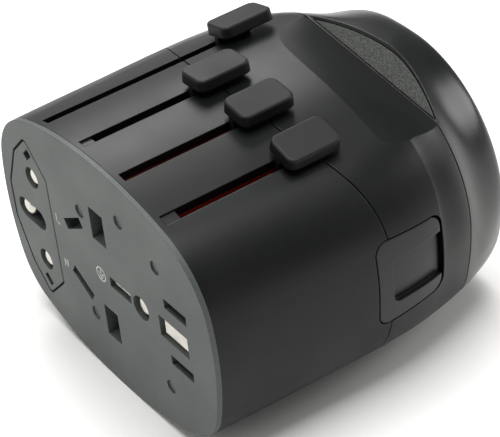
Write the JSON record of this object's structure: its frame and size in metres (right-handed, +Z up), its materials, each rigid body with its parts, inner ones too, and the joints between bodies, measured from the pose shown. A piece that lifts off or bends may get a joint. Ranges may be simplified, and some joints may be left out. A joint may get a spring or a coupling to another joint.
{
  "type": "travel adapter",
  "caption": "Universal travel adapter: a rounded black block with sliding plug pins worked by top knobs, a side release button and a rear socket.",
  "frame": {"origin": "centre of the plug face, on its front plane", "axes": "+X across the plug face towards the release button, +Y from the plug face into the body, +Z up through the slider slots"},
  "size_m": [0.0726, 0.0702, 0.0543],
  "materials": {
    "plated_pin": "polished",
    "contact_brass": "satin",
    "steel": "satin",
    "knob_plastic": "satin",
    "inner_plastic": "satin",
    "face_plastic": "fine grain",
    "shell_plastic": "fine grain",
    "housing_plastic": "fine grain",
    "cap_plastic": "gloss",
    "grip_plastic": "coarse grain",
    "guide_plastic": "gloss",
    "fuse_ceramic": "glazed"
  },
  "bodies": {
    "housing": {"face_plate": "face_plastic", "front_shell": "shell_plastic", "rear_housing": "housing_plastic", "rear_cap": "cap_plastic", "grip_inlay": "grip_plastic", "guide_plate": "guide_plastic", "contact_carrier": "inner_plastic", "housing_screws": "steel", "line_bus": "contact_brass", "neutral_bus": "contact_brass", "earth_bus": "contact_brass", "line_contact": "contact_brass", "neutral_contact": "contact_brass", "earth_contact": "contact_brass", "fuse": "fuse_ceramic", "fuse_clips": "contact_brass", "shutter_spring": "steel", "button_spring": "steel"},
    "eu_slider": {"eu_knob": "knob_plastic", "eu_carriage": "inner_plastic", "eu_pin_line": "plated_pin", "eu_pin_neutral": "plated_pin"},
    "eu_block": {"eu_block": "face_plastic"},
    "eu_earth": {"eu_earth_pin": "plated_pin"},
    "au_slider": {"au_knob": "knob_plastic", "au_carriage": "inner_plastic", "au_blade_line": "plated_pin", "au_blade_neutral": "plated_pin", "au_blade_earth": "plated_pin"},
    "us_slider": {"us_knob": "knob_plastic", "us_carriage": "inner_plastic", "us_blade_line": "plated_pin", "us_blade_neutral": "plated_pin", "us_ground_pin": "plated_pin"},
    "uk_slider": {"uk_knob": "knob_plastic", "uk_carriage": "inner_plastic", "uk_pin_line": "plated_pin", "uk_pin_neutral": "plated_pin", "uk_pin_earth": "plated_pin"},
    "button": {"release_button": "housing_plastic", "release_latch": "inner_plastic"},
    "shutter": {"socket_shutter": "inner_plastic"}
  },
  "joints": [
    {"name": "eu_slide", "type": "slide", "parent": "housing", "child": "eu_slider", "axis": [0, -1, 0], "range_m": [0, 0.0373]},
    {"name": "eu_block_slide", "type": "slide", "parent": "housing", "child": "eu_block", "axis": [0, -1, 0], "range_m": [0, 0.0175]},
    {"name": "eu_earth_shift", "type": "slide", "parent": "eu_slider", "child": "eu_earth", "axis": [1, 0, 0], "range_m": [0, 0.005]},
    {"name": "au_slide", "type": "slide", "parent": "housing", "child": "au_slider", "axis": [0, -1, 0], "range_m": [0, 0.0204]},
    {"name": "us_slide", "type": "slide", "parent": "housing", "child": "us_slider", "axis": [0, -1, 0], "range_m": [0, 0.0204]},
    {"name": "uk_slide", "type": "slide", "parent": "housing", "child": "uk_slider", "axis": [0, -1, 0], "range_m": [0, 0.0227]},
    {"name": "button_push", "type": "slide", "parent": "housing", "child": "button", "axis": [-1, 0, 0], "range_m": [0, 0.0018], "stiffness_N_per_m": 600, "springref_m": -0.001},
    {"name": "shutter_slide", "type": "slide", "parent": "housing", "child": "shutter", "axis": [1, 0, 0], "range_m": [0, 0.0075], "stiffness_N_per_m": 60, "springref_m": -0.002}
  ],
  "couplings": [
    {"joint": "eu_block_slide", "follows": "eu_slide", "ratio": 0.469}
  ]
}
